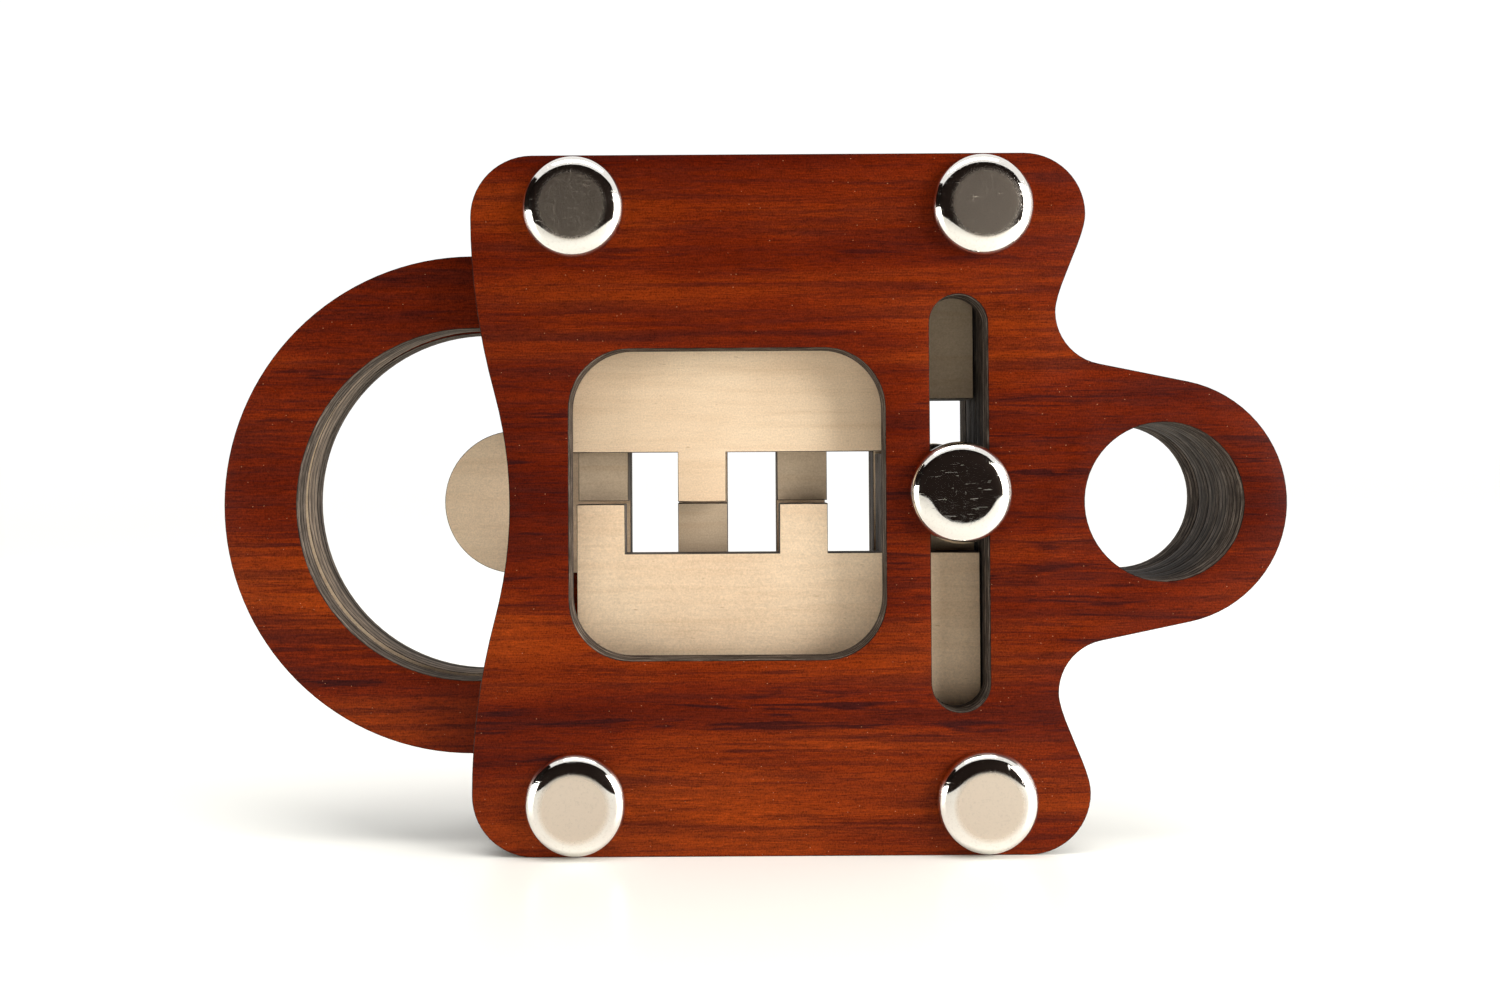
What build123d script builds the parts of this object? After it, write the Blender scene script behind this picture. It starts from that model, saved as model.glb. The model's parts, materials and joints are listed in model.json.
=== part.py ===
from build123d import *
import math
import os

os.makedirs("parts", exist_ok=True)

# A padlock-shaped lock puzzle, stacked from flat laser-cut sheets on four rods.
# A front and a back plate hold three inner layers. A frame fills each inner layer round a
# cavity, and the shackle, the combs and the thumb slider slide in that cavity. A rod with a
# cap at each end runs in the slot.
# Frame: origin under the middle of the whole lock, on the surface it stands on. +X runs
# from the shackle to the key loop, -Y is the front, +Z is up. Lengths are in millimetres.
# Each sheet is drawn about the window's centre, with x to the right and z up.

# Stack
plate_thickness = 4.0
layer_thickness = 3.1
slide_gap = 0.3        # between pieces that slide past each other
layer_play = 0.1       # what a sliding layer is thinner than its frame

# Plate outline
body_height = 80.6
body_length = 70.9     # left edge to right edge, without the key loop
window_from_left = 29.45
corner_r = 7.1
waist_depth = 4.4
waist_r = 50.0
rail_width = 10.6      # frame above and below the cavity
end_wall = 11.35       # frame right of the cavity

# Key loop
loop_reach = 8.75      # right edge to the loop's centre
loop_outer_r = 14.1
loop_hole_r = 9.13
neck_depth = 3.55
neck_rise = 1.7
notch_r = 6.1

# Window and maze
comb_pitch = 6.0
comb_columns = 6
window_margin = 0.2
window_height = 35.8
window_corner_r = 7.0
tooth_height = 6.0
tip_gap = 0.3          # between the tips of the upper and the lower teeth
front_tooth_play = 0.15
rear_drop = 0.6        # how far the rear sheets' openings end below the front comb's

# Slot and knob
slot_inset = 14.75     # right edge to the slot's centre line
slot_width = 6.7
slot_length = 48.0
rod_d = 4.0
knob_z = 1.2
knob_lift = 8.8

# Corner posts and caps
post_inset_x = 11.9
post_inset_z = 6.1
cap_d = 11.7
cap_flat_d = 7.0
cap_height = 2.0
cap_rim = 0.35
cap_sheet = 0.5        # the thickness of the cap's pressed metal
cap_collar_d = 5.6     # the collar that grips the rod
cap_bore_depth = 1.4

# Shackle
shackle_width = 8.6
shackle_reach = 0.7    # left edge to the bow's centre
leg_engagement = 39.3  # how far each leg reaches in from the left edge
core_offset = 0.3      # how far up and in the core's opening sits in the bow

# Thumb slider and combs
tab_r = 8.8
tab_inset = 3.3        # left edge to the tab's centre
slider_inset = 11.0    # left edge to the thumb slider's plate
upper_comb_inset = 7.3 # left edge to the upper comb's free end

# Outline, from the window's centre
half_height = body_height / 2
left_x = -window_from_left
right_x = body_length - window_from_left
corner_z = half_height - corner_r
waist_share = 2 * waist_depth * waist_r / (corner_z**2 + waist_depth**2)
inflection = (left_x + waist_depth * (1 - waist_share), corner_z * waist_share)
notch_x = right_x - neck_depth
notch_z = loop_outer_r + notch_r + neck_rise
shoulder_handle = (corner_z - notch_z) / 4
loop_x = right_x + loop_reach
post_centres = {
    "upper_left": (left_x + post_inset_x, half_height - post_inset_z),
    "upper_right": (right_x - post_inset_x, half_height - post_inset_z),
    "lower_left": (left_x + post_inset_x, post_inset_z - half_height),
    "lower_right": (right_x - post_inset_x, post_inset_z - half_height),
}

# Maze and cavity
window_width = comb_columns * comb_pitch + 2 * window_margin
slot_x = right_x - slot_inset
slot_left = slot_x - slot_width / 2
cavity_half = half_height - rail_width
cavity_right = right_x - end_wall
slider_right = cavity_right - slide_gap
bow_outer_r = cavity_half - slide_gap
bow_inner_r = bow_outer_r - shackle_width
bow_x = left_x - shackle_reach
leg_tip_x = left_x + leg_engagement
comb_half = bow_inner_r - core_offset - slide_gap
foot_left = window_width / 2 - front_tooth_play
rear_root_z = -tooth_height - rear_drop
knob_roof = knob_z + rod_d / 2 + knob_lift + slide_gap
ledge_z = knob_z - rod_d / 2 - slide_gap

# Stack, from the middle of the lock to its front and back
frame_half = 1.5 * layer_thickness
lock_half = frame_half + plate_thickness
slider_thickness = layer_thickness - layer_play
thumb_thickness = slider_thickness - slide_gap
origin_x = (bow_x - bow_outer_r + loop_x + loop_outer_r) / 2


def sheet(back_y):
    """A sheet's drawing plane: its back face at back_y, its normal to the front."""
    return Plane(origin=(-origin_x, back_y, half_height), x_dir=(1, 0, 0), z_dir=(0, -1, 0))


def slider_back(layer):
    """The back face of a sliding piece, by layer: 0 front, 1 middle, 2 rear."""
    return (layer - 0.5) * slider_thickness


def piece(x_from, x_to, z_from, z_to, mode=Mode.ADD):
    """A rectangle from corner to corner, in the sketch that is being drawn."""
    with Locations(((x_from + x_to) / 2, (z_from + z_to) / 2)):
        Rectangle(x_to - x_from, z_to - z_from, mode=mode)


def column(number):
    """The left side of a maze column, counted from 0."""
    return number * comb_pitch - comb_columns * comb_pitch / 2


def tangent_points(centre_a, r_a, centre_b, r_b):
    """Where the line that crosses between two circles touches each of them."""
    across = Vector(*centre_b) - Vector(*centre_a)
    lean = math.degrees(math.acos((r_a + r_b) / across.length))
    normal = across.normalized().rotate(Axis.Z, -lean)
    return Vector(*centre_a) + normal * r_a, Vector(*centre_b) - normal * r_b


# The outline that the plates and the frames share
neck_start, neck_end = tangent_points(
    (notch_x + notch_r, notch_z), notch_r, (loop_x, 0), loop_outer_r
)
with BuildSketch() as outline:
    with BuildLine():
        waist = TangentArc((left_x + waist_depth, 0), inflection, tangent=(0, 1))
        bulge = TangentArc(inflection, (left_x, corner_z), tangent=waist % 1)
        left_corner = TangentArc(bulge @ 1, (left_x + corner_r, half_height), tangent=(0, 1))
        top = Line(left_corner @ 1, (right_x - corner_r, half_height))
        right_corner = TangentArc(top @ 1, (right_x, corner_z), tangent=(1, 0))
        shoulder = Bezier(
            right_corner @ 1,
            (right_x, corner_z - shoulder_handle),
            (notch_x, notch_z + shoulder_handle),
            (notch_x, notch_z),
        )
        notch = TangentArc(shoulder @ 1, neck_start, tangent=(0, -1))
        neck = Line(notch @ 1, neck_end)
        loop = TangentArc(neck @ 1, (loop_x + loop_outer_r, 0), tangent=neck % 1)
        mirror(about=Plane.XZ)
    make_face()
    with Locations(*post_centres.values()):
        Circle(rod_d / 2, mode=Mode.SUBTRACT)
    with Locations((loop_x, 0)):
        Circle(loop_hole_r, mode=Mode.SUBTRACT)

# Front and back plates: the outline with the window and the knob's slot
for label, back_y in {"front_plate": -frame_half, "back_plate": lock_half}.items():
    with BuildPart() as plate:
        with BuildSketch(sheet(back_y)):
            add(outline.sketch)
            RectangleRounded(window_width, window_height, window_corner_r, mode=Mode.SUBTRACT)
            with Locations((slot_x, 0)):
                SlotOverall(slot_length, slot_width, rotation=90, mode=Mode.SUBTRACT)
        extrude(amount=plate_thickness)
    plate.part.label = label
    export_step(plate.part, f"parts/{label}.step")

# Frames: the outline with a cavity that is open at the left
for layer, label in enumerate(("front_frame", "middle_frame", "rear_frame")):
    with BuildPart() as frame:
        with BuildSketch(sheet((layer - 0.5) * layer_thickness)):
            add(outline.sketch)
            piece(left_x - corner_r, cavity_right, -cavity_half, cavity_half, Mode.SUBTRACT)
        extrude(amount=layer_thickness)
    frame.part.label = label
    export_step(frame.part, f"parts/{label}.step")

# Shackle: a bow and two straight legs, in three layers
def bow(opening_offset):
    """Draws the bow and its legs. The opening sits off centre by the offset, up and in."""
    with Locations((bow_x, 0)):
        Circle(bow_outer_r)
    piece(bow_x, leg_tip_x, -bow_outer_r, bow_outer_r)
    with Locations((bow_x + opening_offset, opening_offset)):
        Circle(bow_inner_r, mode=Mode.SUBTRACT)
    piece(
        bow_x + opening_offset,
        leg_tip_x,
        opening_offset - bow_inner_r,
        opening_offset + bow_inner_r,
        Mode.SUBTRACT,
    )


for layer, label in {0: "shackle_front", 2: "shackle_rear"}.items():
    with BuildPart() as shackle:
        with BuildSketch(sheet(slider_back(layer))):
            bow(0)
        extrude(amount=slider_thickness)
    shackle.part.label = label
    export_step(shackle.part, f"parts/{label}.step")

# The core carries the maze's upper rear teeth, and leaves room for the knob's rod
with BuildPart() as shackle_core:
    with BuildSketch(sheet(slider_back(1))):
        bow(core_offset)
        piece(left_x + upper_comb_inset, slot_left, tooth_height, bow_outer_r)
        piece(slot_left, slider_right, knob_roof, bow_outer_r)
        for number in (0, 4):
            piece(column(number), column(number + 1), tip_gap / 2, tooth_height)
    extrude(amount=slider_thickness)
shackle_core.part.label = "shackle_core"
export_step(shackle_core.part, "parts/shackle_core.step")

with BuildPart() as upper_comb:
    with BuildSketch(sheet(slider_back(0))):
        piece(left_x + upper_comb_inset, slot_left - slide_gap, tooth_height, comb_half)
        piece(
            column(2) + front_tooth_play,
            column(3) - front_tooth_play,
            tip_gap / 2,
            tooth_height,
        )
    extrude(amount=slider_thickness)
upper_comb.part.label = "upper_comb"
export_step(upper_comb.part, "parts/upper_comb.step")

# Lower combs: a foot runs on the bottom rail, and the middle one holds the knob's rod up
with BuildPart() as lower_comb:
    with BuildSketch(sheet(slider_back(0))):
        piece(column(0) + front_tooth_play, slider_right, -comb_half, -tooth_height)
        piece(foot_left, slider_right, -bow_outer_r, -comb_half)
        for number in (0, 4):
            piece(
                column(number) + front_tooth_play,
                column(number + 1) - front_tooth_play,
                -tooth_height,
                -tip_gap / 2,
            )
        piece(window_width / 2, slot_left, -tooth_height, tooth_height - slide_gap)
    extrude(amount=slider_thickness)
lower_comb.part.label = "lower_comb"
export_step(lower_comb.part, "parts/lower_comb.step")

with BuildPart() as lower_comb_middle:
    with BuildSketch(sheet(slider_back(1))):
        piece(column(0), slider_right, -comb_half, rear_root_z)
        piece(foot_left, slider_right, -bow_outer_r, -comb_half)
        piece(column(2), column(3), rear_root_z, -tip_gap / 2)
        piece(window_width / 2, slot_left, rear_root_z, tooth_height - slide_gap)
        piece(slot_left, slider_right, rear_root_z, ledge_z)
    extrude(amount=slider_thickness)
lower_comb_middle.part.label = "lower_comb_middle"
export_step(lower_comb_middle.part, "parts/lower_comb_middle.step")

# Thumb slider: a plate behind the combs, with a round tab that stands out at the waist
with BuildPart() as thumb_slider:
    with BuildSketch(sheet(slider_back(2))):
        piece(left_x + slider_inset, slider_right, -comb_half, comb_half)
        piece(left_x + tab_inset, left_x + slider_inset, -tab_r, tab_r)
        with Locations((left_x + tab_inset, 0)):
            Circle(tab_r)
        for number in (1, 3, 5):
            piece(
                column(number),
                column(number + 1),
                rear_root_z,
                tooth_height,
                Mode.SUBTRACT,
            )
        piece(slot_left, slider_right, -tooth_height, knob_roof, Mode.SUBTRACT)
    extrude(amount=thumb_thickness)
thumb_slider.part.label = "thumb_slider"
export_step(thumb_slider.part, "parts/thumb_slider.step")


def make_rod(label, centre, seat_gap):
    """A plain rod through the stack, which ends inside the caps' collars."""
    half_length = lock_half + seat_gap + cap_bore_depth
    with BuildPart() as rod:
        with BuildSketch(sheet(half_length)):
            with Locations(centre):
                Circle(rod_d / 2)
        extrude(amount=2 * half_length)
    rod.part.label = label
    export_step(rod.part, f"parts/{label}.step")


def make_cap(label, centre, seat_gap, side):
    """A pressed push-on cap on one end of a rod. side is -1 in front and 1 behind."""
    seat = Vector(centre[0] - origin_x, side * (lock_half + seat_gap), centre[1] + half_height)
    section = Plane(origin=seat, x_dir=(1, 0, 0), z_dir=(0, 0, side))
    cap_r = cap_d / 2
    collar_r = cap_collar_d / 2
    roof = cap_height - cap_sheet
    with BuildPart() as cap:
        with BuildSketch(section):
            with BuildLine():
                flat = Line((rod_d / 2, cap_height), (cap_flat_d / 2, cap_height))
                flank = TangentArc(flat @ 1, (cap_r, cap_rim), tangent=(1, 0))
                Polyline(
                    flank @ 1,
                    (cap_r, 0),
                    (cap_r - cap_sheet, 0),
                    (cap_r - cap_sheet, cap_rim),
                    (cap_flat_d / 2, roof),
                    (collar_r, roof),
                    (collar_r, 0),
                    (rod_d / 2, 0),
                    (rod_d / 2, cap_height),
                )
            make_face()
            with Locations((0, cap_bore_depth)):
                Rectangle(rod_d / 2, cap_height - cap_bore_depth, align=(Align.MIN, Align.MIN))
        revolve(axis=Axis(seat, (0, 1, 0)))
    cap.part.label = label
    export_step(cap.part, f"parts/{label}.step")


# Corner posts, and the knob, which stands clear of the plates
for corner, centre in post_centres.items():
    make_rod(f"post_{corner}", centre, 0)
    make_cap(f"cap_front_{corner}", centre, 0, -1)
    make_cap(f"cap_rear_{corner}", centre, 0, 1)
make_rod("knob_rod", (slot_x, knob_z), slide_gap)
make_cap("knob_cap_front", (slot_x, knob_z), slide_gap, -1)
make_cap("knob_cap_rear", (slot_x, knob_z), slide_gap, 1)
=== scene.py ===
import json
import math
import random

import bmesh
import bpy
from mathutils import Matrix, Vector


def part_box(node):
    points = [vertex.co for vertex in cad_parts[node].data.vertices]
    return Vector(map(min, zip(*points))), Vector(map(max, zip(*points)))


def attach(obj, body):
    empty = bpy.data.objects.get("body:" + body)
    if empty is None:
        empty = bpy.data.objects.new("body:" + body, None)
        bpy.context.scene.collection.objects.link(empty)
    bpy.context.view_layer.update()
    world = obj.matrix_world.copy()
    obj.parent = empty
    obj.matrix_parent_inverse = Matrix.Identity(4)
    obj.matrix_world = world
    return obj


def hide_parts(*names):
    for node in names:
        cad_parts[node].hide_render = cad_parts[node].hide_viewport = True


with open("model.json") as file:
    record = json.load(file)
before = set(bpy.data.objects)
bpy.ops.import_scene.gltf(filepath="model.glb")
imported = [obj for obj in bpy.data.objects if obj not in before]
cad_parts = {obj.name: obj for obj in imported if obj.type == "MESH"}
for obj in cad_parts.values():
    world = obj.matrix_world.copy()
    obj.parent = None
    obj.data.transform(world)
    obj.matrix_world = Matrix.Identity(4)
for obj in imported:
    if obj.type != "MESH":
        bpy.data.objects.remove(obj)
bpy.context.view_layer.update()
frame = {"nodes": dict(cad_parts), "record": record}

# A padlock-shaped lock puzzle of laser-cut sheets. Lengths are in metres, and mm turns
# millimetres into them. Every sheet is redrawn from its CAD node's own outline, with the
# slightly rounded arrises that a laser leaves. The caps are turned again in finer steps.

mm = 0.001

CORNERS = ("upper_left", "upper_right", "lower_left", "lower_right")
VENEERED = ("front_plate", "back_plate", "shackle_front", "shackle_rear")
FRAMES = ("front_frame", "middle_frame", "rear_frame")
PALE = ("shackle_core", "upper_comb", "lower_comb", "lower_comb_middle", "thumb_slider")
# The sheets deep in the maze get painted shade: their faces are darkened because they lie deep
# in the recess.
DEEP_SHADED_SHEETS = ("lower_comb_middle", "shackle_core")  # the pale sheets deep in the maze
RODS = tuple(f"post_{corner}" for corner in CORNERS) + ("knob_rod",)

ARRIS = 0.12 * mm          # the rounding along a laser-cut edge
ARRIS_STEPS = 2
PLY = 1.0 * mm             # one ply of the sheets
SAME_POINT = 0.004 * mm    # closer points than this are one point
FLAT_FACE = 0.93           # a face whose normal lies this much along Y is a sheet's flat side
SMOOTH_ANGLE = math.radians(40)
VENEER_DRIFT = 650.0 * mm  # the veneer's tone falls by 1 over this height
DEEP_SHADE = 0.65               # how much of their brightness the sheets deep in the maze keep, as painted shade

# Push-on caps
CAP_FLAT = 0.60            # the flat centre's share of the radius
CAP_RIM = 0.22 * mm
CAP_WALL = 0.35 * mm
CAP_STEPS = 14
CAP_SIDES = 96
KNOB_CAP_TILT = (0.10 * mm, -0.08 * mm)  # how much further out its right and its top stand

# Colours
GREY_ASH = (0.16, 0.135, 0.11, 1)
PALE_ASH = (0.36, 0.27, 0.19, 1)
SOOT = (0.030, 0.022, 0.017, 1)
DARK_VEIN = (0.052, 0.0070, 0.0038, 1)
DARK_STREAK = (0.028, 0.0046, 0.0042, 1)
RED_DUST = (0.60, 0.27, 0.14, 1)
BIRCH_RAY = (0.58, 0.38, 0.215, 1)
BIRCH_FLECK = (0.36, 0.21, 0.11, 1)
NICKEL = (0.80, 0.77, 0.72, 1)
WORN_NICKEL = (0.70, 0.60, 0.50, 1)
TARNISH = (0.44, 0.39, 0.34, 1)
SOFTBOX_WHITE = (1.0, 0.98, 0.95)
SURROUND_WHITE = (1.0, 1.0, 1.0, 1)

# The colour sockets of a mix node
MIX_FIRST = 6
MIX_SECOND = 7
MIX_RESULT = 2


# ---------------------------------------------------------------- materials

def grey(level):
    return (level, level, level, 1)


class Recipe:
    """A new node material, with short calls for the nodes that the materials here share."""

    def __init__(self, name):
        self.material = bpy.data.materials.new(name)
        self.material.use_nodes = True
        self.tree = self.material.node_tree
        self.shader = self.tree.nodes["Principled BSDF"]
        self.place = self.add("ShaderNodeTexCoord").outputs

    def add(self, kind, **settings):
        node = self.tree.nodes.new(kind)
        for key, value in settings.items():
            setattr(node, key, value)
        return node

    def feed(self, socket, value):
        if isinstance(value, bpy.types.NodeSocket):
            self.tree.links.new(value, socket)
        else:
            socket.default_value = value

    def math(self, operation, first, second=0.0):
        node = self.add("ShaderNodeMath", operation=operation)
        self.feed(node.inputs[0], first)
        self.feed(node.inputs[1], second)
        return node.outputs[0]

    def stretched(self, scale, offset=(0.0, 0.0, 0.0)):
        """Object coordinates in millimetres, scaled along each axis."""
        node = self.add("ShaderNodeMapping")
        self.feed(node.inputs["Vector"], self.place["Object"])
        node.inputs["Scale"].default_value = [factor / mm for factor in scale]
        node.inputs["Location"].default_value = offset
        return node.outputs[0]

    def noise(self, scale, offset=(0.0, 0.0, 0.0), detail=3.0, rough=0.55, warp=0.0):
        """A noise with so many swings per millimetre along each axis."""
        node = self.add("ShaderNodeTexNoise")
        self.feed(node.inputs["Vector"], self.stretched(scale, offset))
        node.inputs["Scale"].default_value = 1.0
        node.inputs["Detail"].default_value = detail
        node.inputs["Roughness"].default_value = rough
        node.inputs["Distortion"].default_value = warp
        return node.outputs[0]

    def swing(self, noise, amount):
        """A noise centred on zero, times the amount."""
        return self.math("MULTIPLY", self.math("SUBTRACT", noise, 0.5), amount)

    def ramp(self, factor, *stops):
        """A colour ramp. Each stop is a place and either a grey level or a colour."""
        node = self.add("ShaderNodeValToRGB")
        self.feed(node.inputs[0], factor)
        band = node.color_ramp
        while len(band.elements) < len(stops):
            band.elements.new(0.5)
        for element, (place, tone) in zip(band.elements, stops):
            element.position = place
            element.color = grey(tone) if isinstance(tone, float) else (*tone, 1)
        return node.outputs[0]

    def mix(self, factor, first, second, blend="MIX"):
        node = self.add("ShaderNodeMix", data_type="RGBA", blend_type=blend)
        self.feed(node.inputs["Factor"], factor)
        self.feed(node.inputs[MIX_FIRST], first)
        self.feed(node.inputs[MIX_SECOND], second)
        return node.outputs[MIX_RESULT]

    def bump(self, height, strength, distance):
        node = self.add("ShaderNodeBump")
        self.feed(node.inputs["Height"], height)
        node.inputs["Strength"].default_value = strength
        node.inputs["Distance"].default_value = distance
        return node.outputs[0]

    def axis(self, output, letter):
        node = self.add("ShaderNodeSeparateXYZ")
        self.feed(node.inputs[0], self.place[output])
        return node.outputs[letter]

    def facing(self):
        """1 on a sheet's flat faces, 0 on its cut edges."""
        tilt = self.math("ABSOLUTE", self.axis("Normal", "Y"))
        return self.math("GREATER_THAN", tilt, FLAT_FACE)

    def finish(self, colour, roughness, normal=None):
        self.feed(self.shader.inputs["Base Color"], colour)
        self.feed(self.shader.inputs["Roughness"], roughness)
        if normal is not None:
            self.feed(self.shader.inputs["Normal"], normal)
        return self.material


def cut_edge(recipe, face_y, seed, ash_tone=GREY_ASH, ash_share=0.5):
    """Charred ply edge: dark joints between plies, streaks across, and ash over them."""
    depth = recipe.math("SUBTRACT", recipe.axis("Object", "Y"), face_y)
    plies = recipe.math("DIVIDE", depth, PLY)
    from_joint = recipe.math("PINGPONG", plies, 0.5)
    joint = recipe.ramp(from_joint, (0.0, 0.10), (0.10, 0.55), (0.22, 1.0))
    every_other = recipe.math("PINGPONG", recipe.math("FLOOR", plies), 1.0)
    streaks = recipe.noise((0.30, 2.4, 0.30), (seed, 0, 0), 7.0, 0.8, 0.6)
    ash = recipe.noise((0.35, 3.0, 0.35), (seed, 3, 0), 4.0, 0.6)
    char = recipe.ramp(
        streaks,
        (0.40, (0.008, 0.006, 0.005)),
        (0.50, (0.062, 0.044, 0.034)),
        (0.62, (0.270, 0.215, 0.170)),
    )
    darker = recipe.mix(recipe.math("MULTIPLY", every_other, 0.45), char, SOOT)
    ash_cover = recipe.ramp(ash, (0.42, 0.2 * ash_share), (0.7, ash_share))
    ashen = recipe.mix(ash_cover, darker, ash_tone)
    colour = recipe.mix(1.0, ashen, joint, "MULTIPLY")
    grooves = recipe.math("ADD", from_joint, recipe.math("MULTIPLY", streaks, 0.5))
    return colour, grooves


def rosewood(name, face_y, seed, ash_share):
    """Glossy red-brown veneer on the faces, charred ply on the cut edges."""
    recipe = Recipe(name)
    shift = (seed, seed * 0.37, seed * 1.7)
    bands = recipe.noise((0.006, 0.02, 0.115), shift, 3.0, 0.55, 0.3)
    clouds = recipe.noise((0.030, 0.02, 0.060), shift, 2.0, 0.5)
    figure = recipe.noise((0.026, 0.05, 0.80), shift, 6.0, 0.66, 0.7)
    dashes = recipe.noise((0.075, 0.1, 1.25), shift, 3.0, 0.55, 0.5)
    hairs = recipe.noise((0.130, 0.2, 3.10), shift, 3.0, 0.6, 0.4)
    fibre = recipe.noise((0.60, 1.0, 8.0), shift, 3.0, 0.6)
    weave = recipe.noise((5.5, 1.0, 4.6), shift, 2.0, 0.7)
    drift = recipe.math("DIVIDE", recipe.axis("Object", "Z"), VENEER_DRIFT)
    tone = recipe.math(
        "ADD",
        recipe.math("MULTIPLY", bands, 0.60),
        recipe.math("MULTIPLY", clouds, 0.40),
    )
    ground = recipe.ramp(
        recipe.math("SUBTRACT", recipe.math("ADD", tone, 0.05), drift),
        (0.34, (0.070, 0.0054, 0.0010)),
        (0.48, (0.128, 0.0126, 0.0016)),
        (0.62, (0.235, 0.0335, 0.0036)),
    )
    veins = recipe.ramp(figure, (0.47, 0.0), (0.58, 0.50), (0.72, 0.85))
    veined = recipe.mix(veins, ground, DARK_VEIN)
    where = recipe.ramp(bands, (0.40, 1.0), (0.60, 0.35))
    dash = recipe.math("MULTIPLY", recipe.ramp(dashes, (0.57, 0.0), (0.67, 0.90)), where)
    hair = recipe.math("MULTIPLY", recipe.ramp(hairs, (0.54, 0.0), (0.66, 0.60)), where)
    marks = recipe.math("MAXIMUM", dash, hair)
    streaked = recipe.mix(marks, veined, DARK_STREAK)
    fine = recipe.math("ADD", recipe.swing(fibre, 1.6), recipe.swing(weave, 1.8))
    level = recipe.math("ADD", fine, 1.0)
    textured = recipe.mix(1.0, streaked, level, "MULTIPLY")
    dust = recipe.add("ShaderNodeTexVoronoi", feature="F1")
    recipe.feed(dust.inputs["Vector"], recipe.stretched((0.75, 0.55, 1.0), shift))
    dust.inputs["Scale"].default_value = 1.0
    speck = recipe.math("LESS_THAN", dust.outputs["Distance"], 0.045)
    dusty = recipe.mix(recipe.math("MULTIPLY", speck, 0.60), textured, RED_DUST)
    edge, grooves = cut_edge(recipe, face_y, seed, ash_share=ash_share)
    face = recipe.facing()
    colour = recipe.mix(face, edge, dusty)
    gloss = recipe.ramp(recipe.noise((0.25, 0.2, 0.5), shift, 4.0), (0.3, 0.30), (0.7, 0.46))
    roughness = recipe.mix(face, grey(0.85), gloss)
    pores = recipe.math("SUBTRACT", fibre, recipe.math("MULTIPLY", dash, 0.5))
    relief = recipe.mix(face, grooves, pores)
    recipe.shader.inputs["Specular IOR Level"].default_value = 0.05
    return recipe.finish(colour, roughness, recipe.bump(relief, 0.35, 0.05 * mm))


def birch(name, face_y, seed, painted_shade=1.0, ash_tone=GREY_ASH, ash_share=0.5):
    """Bare pale birch ply on the faces, charred on the cut edges.

    How much of their brightness the faces keep is given as a factor: below 1 it is painted
    shade, for the sheets that lie deep in the maze.
    """
    recipe = Recipe(name)
    shift = (seed, seed * 0.61, seed * 1.3)
    rays = recipe.noise((0.05, 0.2, 0.9), shift, 4.0, 0.6, 0.4)
    fibre = recipe.noise((0.7, 1.0, 5.5), shift, 3.0, 0.6)
    mottled = recipe.noise((0.06, 0.05, 0.08), shift, 2.0)
    fleck = recipe.noise((0.9, 0.6, 3.2), (seed, 9, 4), 2.0, 0.4)
    grit = recipe.noise((5.0, 1.0, 5.0), shift, 2.0, 0.7)
    ground = recipe.ramp(
        mottled,
        (0.30, (0.700, 0.520, 0.350)),
        (0.70, (0.790, 0.615, 0.430)),
    )
    lined = recipe.mix(recipe.ramp(rays, (0.48, 0.0), (0.72, 0.32)), ground, BIRCH_RAY)
    fine = recipe.math("ADD", recipe.swing(fibre, 0.22), recipe.swing(grit, 0.60))
    # Multiplying by that factor paints shade on the sheets that lie deep in the maze.
    level = recipe.math("MULTIPLY", recipe.math("ADD", fine, 1.0), painted_shade)
    grained = recipe.mix(1.0, lined, level, "MULTIPLY")
    flecked = recipe.mix(recipe.ramp(fleck, (0.72, 0.0), (0.80, 0.5)), grained, BIRCH_FLECK)
    edge, grooves = cut_edge(recipe, face_y, seed, ash_tone, ash_share)
    face = recipe.facing()
    colour = recipe.mix(face, edge, flecked)
    sanded = recipe.ramp(fibre, (0.3, 0.55), (0.7, 0.72))
    roughness = recipe.mix(face, grey(0.88), sanded)
    relief = recipe.mix(face, grooves, fibre)
    recipe.shader.inputs["Specular IOR Level"].default_value = 0.3
    return recipe.finish(colour, roughness, recipe.bump(relief, 0.4, 0.06 * mm))


def nickel(name, seed, wear):
    """Bright nickel plate: hairline scratches, dull spots, and a flat centre worn satin.

    wear is how far the centre is worn, from 0 to 1.
    """
    recipe = Recipe(name)
    shift = (seed, seed * 2.3, seed * 0.7)
    lines = recipe.noise((0.35, 0.35, 6.0), shift, 2.0, 0.5, 1.5)
    cross = recipe.noise((6.5, 0.35, 0.4), shift, 2.0, 0.5, 1.5)
    pits = recipe.noise((3.5, 3.5, 3.5), shift, 4.0, 0.7)
    haze = recipe.noise((0.30, 0.30, 0.30), shift, 3.0)
    flat = recipe.math("ABSOLUTE", recipe.axis("Normal", "Y"))
    satin = recipe.ramp(flat, (0.965, 0.0), (0.9995, wear))
    scratch = recipe.math(
        "MAXIMUM",
        recipe.ramp(lines, (0.69, 0.0), (0.73, 1.0)),
        recipe.ramp(cross, (0.70, 0.0), (0.74, 1.0)),
    )
    worn = recipe.ramp(pits, (0.52, 0.0), (0.74, 1.0))
    bare = recipe.mix(satin, NICKEL, WORN_NICKEL)
    colour = recipe.mix(recipe.math("MULTIPLY", worn, 0.35), bare, TARNISH)
    polish = recipe.math("ADD", recipe.math("MULTIPLY", satin, 0.24), 0.05)
    scratched = recipe.math("ADD", polish, recipe.math("MULTIPLY", scratch, 0.14))
    dull = recipe.math("MULTIPLY", recipe.math("MULTIPLY", haze, worn), 0.22)
    roughness = recipe.math("ADD", scratched, dull)
    relief = recipe.math(
        "SUBTRACT",
        recipe.math("MULTIPLY", pits, 0.5),
        recipe.math("MULTIPLY", scratch, 0.6),
    )
    recipe.shader.inputs["Metallic"].default_value = 1.0
    return recipe.finish(colour, roughness, recipe.bump(relief, 0.12, 0.03 * mm))


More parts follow.
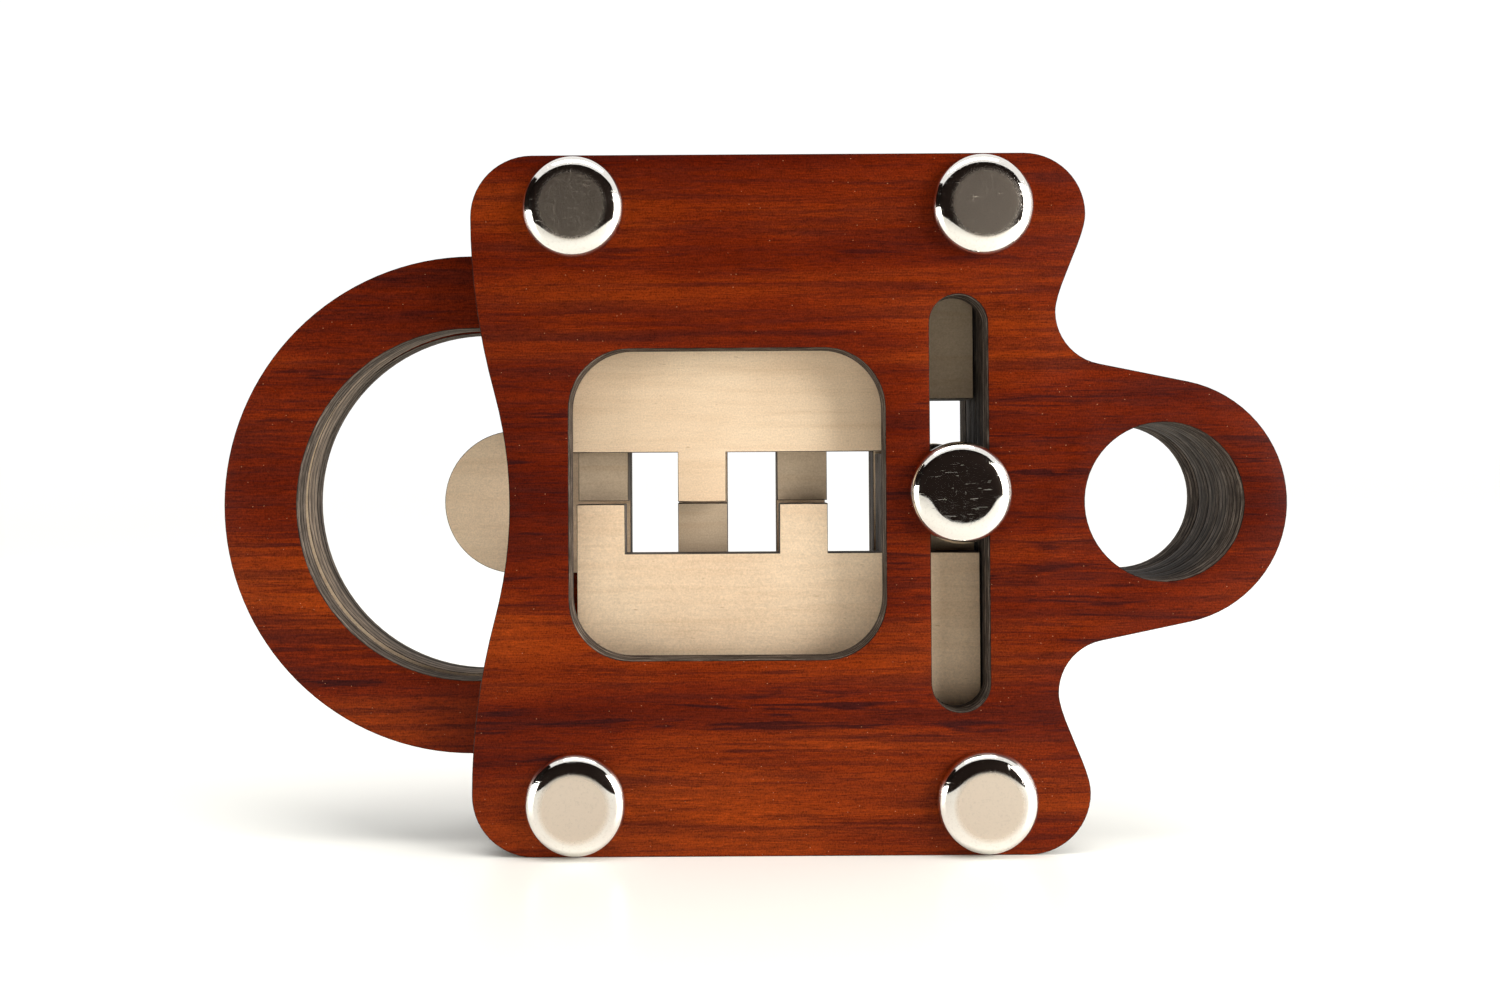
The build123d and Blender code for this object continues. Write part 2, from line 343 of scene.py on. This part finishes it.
def steel(name, seed):
    """Drawn steel rod, with fine marks along it and a little tarnish."""
    recipe = Recipe(name)
    shift = (seed, 0.0, seed)
    drawn = recipe.noise((5.0, 0.15, 5.0), shift, 3.0, 0.6)
    tarnish = recipe.noise((0.4, 0.5, 0.4), shift, 4.0, 0.6)
    colour = recipe.ramp(tarnish, (0.35, (0.30, 0.27, 0.24)), (0.70, (0.56, 0.54, 0.51)))
    roughness = recipe.ramp(drawn, (0.3, 0.24), (0.7, 0.42))
    recipe.shader.inputs["Metallic"].default_value = 1.0
    return recipe.finish(colour, roughness, recipe.bump(drawn, 0.3, 0.02 * mm))


# ---------------------------------------------------------------- pieces

def body_of(node):
    """The moving body that a CAD node belongs to."""
    bodies = frame["record"]["behaviour"]["bodies"]
    return next(body for body, nodes in bodies.items() if node in nodes)


def front_y(node):
    """Where the front face of a CAD node lies."""
    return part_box(node)[0].y


def new_piece(name, mesh, material, node):
    """Puts a mesh in the scene in place of its CAD node, on the same body."""
    piece = bpy.data.objects.new(name, mesh)
    bpy.context.scene.collection.objects.link(piece)
    mesh.materials.clear()
    mesh.materials.append(material)
    for face in mesh.polygons:
        face.use_smooth = True
    mesh.set_sharp_from_angle(angle=SMOOTH_ANGLE)
    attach(piece, body_of(node))
    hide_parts(node)


def outlines(node):
    """The closed outlines of a sheet's front face, as lists of (x, z) points."""
    face_y = front_y(node)
    welded = bmesh.new()
    welded.from_mesh(frame["nodes"][node].data)
    bmesh.ops.remove_doubles(welded, verts=welded.verts, dist=SAME_POINT)
    front = {
        face for face in welded.faces
        if all(abs(vert.co.y - face_y) < SAME_POINT for vert in face.verts)
    }
    onward = {}
    for face in welded.faces:
        for corner in face.loops:
            if face in front and not front.intersection(corner.edge.link_faces) - {face}:
                onward[corner.vert] = corner.link_loop_next.vert
    loops = []
    while onward:
        start, vert = onward.popitem()
        loop = [start]
        while vert is not start:
            loop.append(vert)
            vert = onward.pop(vert)
        loops.append([(vert.co.x, vert.co.z) for vert in loop])
    welded.free()
    return loops


def cut_sheet(node, material):
    """The sheet again, from its outlines, with a small round along both arrises."""
    low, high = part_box(node)
    drawing = bpy.data.curves.new(f"{node}_drawing", "CURVE")
    drawing.dimensions = "2D"
    drawing.fill_mode = "BOTH"
    drawing.extrude = (high.y - low.y) / 2 - ARRIS
    drawing.bevel_depth = ARRIS
    drawing.bevel_resolution = ARRIS_STEPS
    drawing.offset = -ARRIS
    for loop in outlines(node):
        spline = drawing.splines.new("POLY")
        spline.points.add(len(loop) - 1)
        for point, (x, z) in zip(spline.points, loop):
            point.co = (x, z, 0, 1)
        spline.use_cyclic_u = True
    holder = bpy.data.objects.new(f"{node}_drawing", drawing)
    bpy.context.scene.collection.objects.link(holder)
    bpy.context.view_layer.update()
    graph = bpy.context.evaluated_depsgraph_get()
    mesh = bpy.data.meshes.new_from_object(holder.evaluated_get(graph))
    bpy.data.objects.remove(holder)
    # The drawing lies flat, so it is stood up: its thickness runs along Y
    middle = (low.y + high.y) / 2
    for vert in mesh.vertices:
        x, z, y = vert.co
        vert.co = (x, middle - y, z)
    solid = bmesh.new()
    solid.from_mesh(mesh)
    bmesh.ops.remove_doubles(solid, verts=solid.verts, dist=SAME_POINT)
    bmesh.ops.recalc_face_normals(solid, faces=solid.faces)
    solid.to_mesh(mesh)
    solid.free()
    new_piece(f"{node}_sheet", mesh, material, node)


def cap_profile(radius, tall):
    """Half the section of a pressed cap, as (reach, height) points from the top's middle.

    It has a flat centre, a domed flank, and a thin turned-in rim, and it is hollow.
    """
    flat = CAP_FLAT * radius
    profile = [(0.0, tall), (0.5 * flat, tall), (0.88 * flat, tall)]
    for i in range(CAP_STEPS + 1):
        turn = math.pi / 2 * i / CAP_STEPS
        reach = flat + (radius - flat) * math.sin(turn) ** 1.15
        profile.append((reach, CAP_RIM + (tall - CAP_RIM) * math.cos(turn) ** 0.9))
    inside = radius - CAP_WALL
    roof = tall - 2 * CAP_WALL
    profile += [(radius, 0.5 * CAP_RIM), (radius - 0.3 * CAP_WALL, 0.0), (inside, 0.0)]
    profile += [(inside, CAP_RIM), (flat, roof), (0.0, roof)]
    return profile


def turned_cap(node, material, tilt=(0.0, 0.0)):
    """The cap again, turned about its axis.

    tilt is how much further out its right and its top stand.
    """
    low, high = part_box(node)
    centre = (low + high) / 2
    side = 1 if centre.y > 0 else -1
    seat_y = low.y if side > 0 else high.y
    radius = (high.x - low.x) / 2
    mesh = bpy.data.meshes.new(node)
    lathe = bmesh.new()
    angles = [2 * math.pi * k / CAP_SIDES for k in range(CAP_SIDES)]
    rings = []
    for reach, height in cap_profile(radius, high.y - low.y):
        if reach == 0.0:
            rings.append([lathe.verts.new((0, height, 0))] * CAP_SIDES)
            continue
        spots = [(reach * math.cos(angle), height, reach * math.sin(angle)) for angle in angles]
        rings.append([lathe.verts.new(spot) for spot in spots])
    # A face at the middle has the middle as two of its corners, so it is a triangle
    for inner, outer in zip(rings, rings[1:]):
        for k in range(CAP_SIDES):
            beside = (k + 1) % CAP_SIDES
            lathe.faces.new(dict.fromkeys((inner[k], inner[beside], outer[beside], outer[k])))
    for vert in lathe.verts:
        lean = (vert.co.x * tilt[0] + vert.co.z * tilt[1]) / radius
        out = side * (vert.co.y + lean)
        vert.co = (vert.co.x + centre.x, seat_y + out, vert.co.z + centre.z)
    bmesh.ops.recalc_face_normals(lathe, faces=lathe.faces)
    lathe.to_mesh(mesh)
    lathe.free()
    new_piece(f"{node}_turned", mesh, material, node)


for number, node in enumerate(VENEERED):
    material = rosewood(
        f"rosewood_{node}",
        front_y(node),
        seed=4.0 + 11.3 * number,
        ash_share=0.7 if "shackle" in node else 0.3,
    )
    cut_sheet(node, material)

for number, node in enumerate(FRAMES):
    cut_sheet(node, birch(f"frame_ply_{node}", front_y(node), seed=61.0 + 7.9 * number))

for number, node in enumerate(PALE):
    # The sheets deep in the maze get painted shade, so their faces come out darker.
    look = {"painted_shade": DEEP_SHADE} if node in DEEP_SHADED_SHEETS else {}
    if node == "shackle_core":
        look.update(ash_tone=PALE_ASH, ash_share=0.75)
    cut_sheet(node, birch(f"birch_{node}", front_y(node), seed=23.0 + 5.7 * number, **look))

# The rods keep their CAD shape
for number, node in enumerate(RODS):
    rod = frame["nodes"][node]
    rod.data.materials.clear()
    rod.data.materials.append(steel(f"steel_{node}", seed=2.0 + number))

# The corner caps are worn in the middle, and the knob's stay bright
chance = random.Random(7)
for place in ("front", "rear"):
    for corner in CORNERS:
        node = f"cap_{place}_{corner}"
        turned_cap(node, nickel(f"nickel_{node}", seed=chance.uniform(0, 90), wear=1.0))
    node = f"knob_cap_{place}"
    bright = nickel(f"nickel_{node}", seed=chance.uniform(0, 90), wear=0.0)
    turned_cap(node, bright, KNOB_CAP_TILT)


# ---------------------------------------------------------------- studio

def plain(name, colour, roughness, shine):
    """One colour all over."""
    recipe = Recipe(name)
    recipe.shader.inputs["Specular IOR Level"].default_value = shine
    return recipe.finish((*colour, 1), roughness)


def card(name, centre, across, up, material):
    """A flat rectangle. across and up are its half-sides, as vectors."""
    mesh = bpy.data.meshes.new(name)
    middle = Vector(centre)
    signs = ((-1, -1), (1, -1), (1, 1), (-1, 1))
    corners = [middle + a * Vector(across) + b * Vector(up) for a, b in signs]
    mesh.from_pydata(corners, [], [(0, 1, 2, 3)])
    mesh.materials.append(material)
    board = bpy.data.objects.new(name, mesh)
    bpy.context.scene.collection.objects.link(board)
    return board


floor_white = plain("floor_white", colour=(0.985, 0.980, 0.920), roughness=0.35, shine=0.5)
card("floor", centre=(0, 0, 0), across=(40, 0, 0), up=(0, 40, 0), material=floor_white)

# The caps are mirrors, and these cards are the dark room that they reflect. The camera
# doesn't see the cards themselves.
dark_card = plain("dark_card", colour=(0.010, 0.007, 0.006), roughness=1.0, shine=0.0)
for name, centre, across, up in (
    ("dark_side", (-0.20, -0.42, 0.37), (0.86, 0, 0), (0, 0, 0.36)),
    ("dark_left", (-0.85, -0.06, 0.50), (0, 0.36, 0), (0, 0, 0.34)),
):
    card(name, centre, across, up, dark_card).visible_camera = False

world = bpy.data.worlds.new("studio")
bpy.context.scene.world = world
world.use_nodes = True
surround = world.node_tree.nodes["Background"]
surround.inputs["Color"].default_value = SURROUND_WHITE
surround.inputs["Strength"].default_value = 1.06


def softbox(name, place, target, size, power):
    """A rectangular lamp that faces its target. size is its width and height."""
    lamp = bpy.data.lights.new(name, "AREA")
    lamp.shape = "RECTANGLE"
    lamp.size, lamp.size_y = size
    lamp.energy = power
    lamp.color = SOFTBOX_WHITE
    holder = bpy.data.objects.new(name, lamp)
    bpy.context.scene.collection.objects.link(holder)
    holder.location = place
    aim = Vector(target) - Vector(place)
    holder.rotation_euler = aim.to_track_quat("-Z", "Y").to_euler()


lock_middle = (0, 0, 0.04)
floor_in_front = (0, -0.06, 0)
softbox("right_box", (0.58, -0.26, 0.17), lock_middle, size=(0.40, 0.42), power=7.0)
softbox("left_box", (-0.56, -0.22, 0.07), lock_middle, size=(0.30, 0.13), power=1.6)
softbox("top_box", (0.0, -0.10, 0.60), floor_in_front, size=(0.55, 0.16), power=1.4)

# The camera looks straight at the front, from close by, a little above the middle
camera_distance = 136.4 * mm
camera_left = 1.6 * mm
camera_rise = 5.5 * mm
camera_pitch = math.radians(90.73)
camera_roll = math.radians(0.34)
lower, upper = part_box("front_plate")
camera_data = bpy.data.cameras.new("camera")
camera_data.sensor_width = 36.0
camera_data.lens = 28.5
camera_data.shift_x = 0.0108
camera_data.shift_y = -0.0393
camera_data.clip_start = 5.0 * mm
camera = bpy.data.objects.new("camera", camera_data)
bpy.context.scene.collection.objects.link(camera)
camera.location = (
    -camera_left,
    lower.y - camera_distance,
    (lower.z + upper.z) / 2 + camera_rise,
)
camera.rotation_euler = (camera_pitch, camera_roll, 0)
bpy.context.scene.camera = camera
bpy.context.scene.view_settings.view_transform = "Standard"
